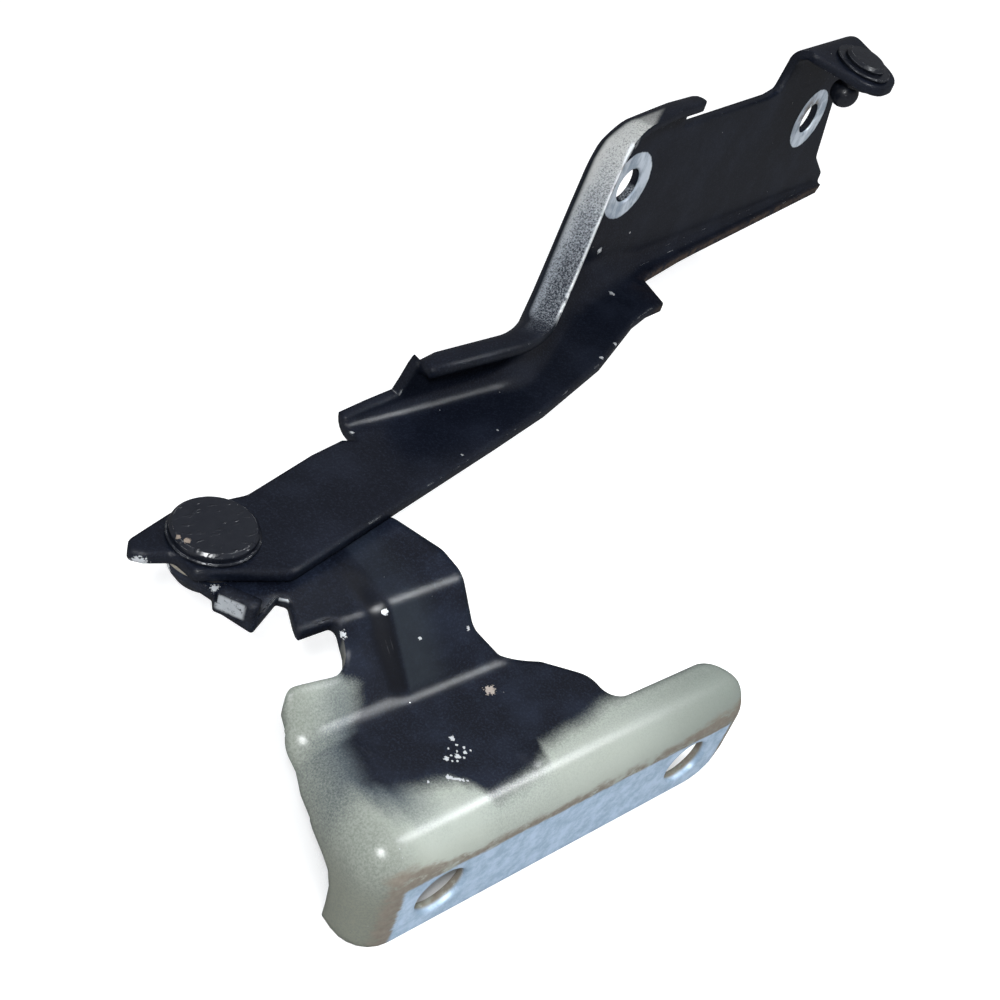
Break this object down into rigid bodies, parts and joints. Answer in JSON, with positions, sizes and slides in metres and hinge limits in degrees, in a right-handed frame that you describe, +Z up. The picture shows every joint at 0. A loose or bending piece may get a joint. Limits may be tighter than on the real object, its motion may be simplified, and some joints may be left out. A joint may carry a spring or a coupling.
{
  "type": "bonnet hinge",
  "caption": "Stamped vehicle bonnet hinge: a cranked body bracket and a gooseneck bonnet arm joined by a riveted pivot, with a ball stud ear for a gas strut.",
  "frame": {"origin": "midway between the two body bolt holes, on the mating face of the foot", "axes": "+Z up along the pivot axis, +Y from the mating face towards the pivot, +X along the foot towards the bonnet end"},
  "size_m": [0.2802, 0.1432, 0.0988],
  "materials": {
    "bracket_paint": "gloss black over pale green primer",
    "arm_paint": "gloss black",
    "rivet_paint": "gloss black",
    "washer_paint": "gloss black",
    "bush_liner": "satin",
    "stud_steel": "gloss black"
  },
  "bodies": {
    "bracket": {"body_bracket": "bracket_paint", "pivot_rivet": "rivet_paint", "tail_washer": "washer_paint", "head_washer": "washer_paint"},
    "arm": {"bonnet_arm": "arm_paint", "pivot_bush": "bush_liner", "ball_stud": "stud_steel", "stud_washer": "washer_paint"}
  },
  "joints": [
    {"name": "bonnet_pivot", "type": "hinge", "parent": "bracket", "child": "arm", "pos_m": [-0.0455, 0.0675, 0.032], "axis": [0, 0, 1], "range_deg": [-12, 58]}
  ]
}
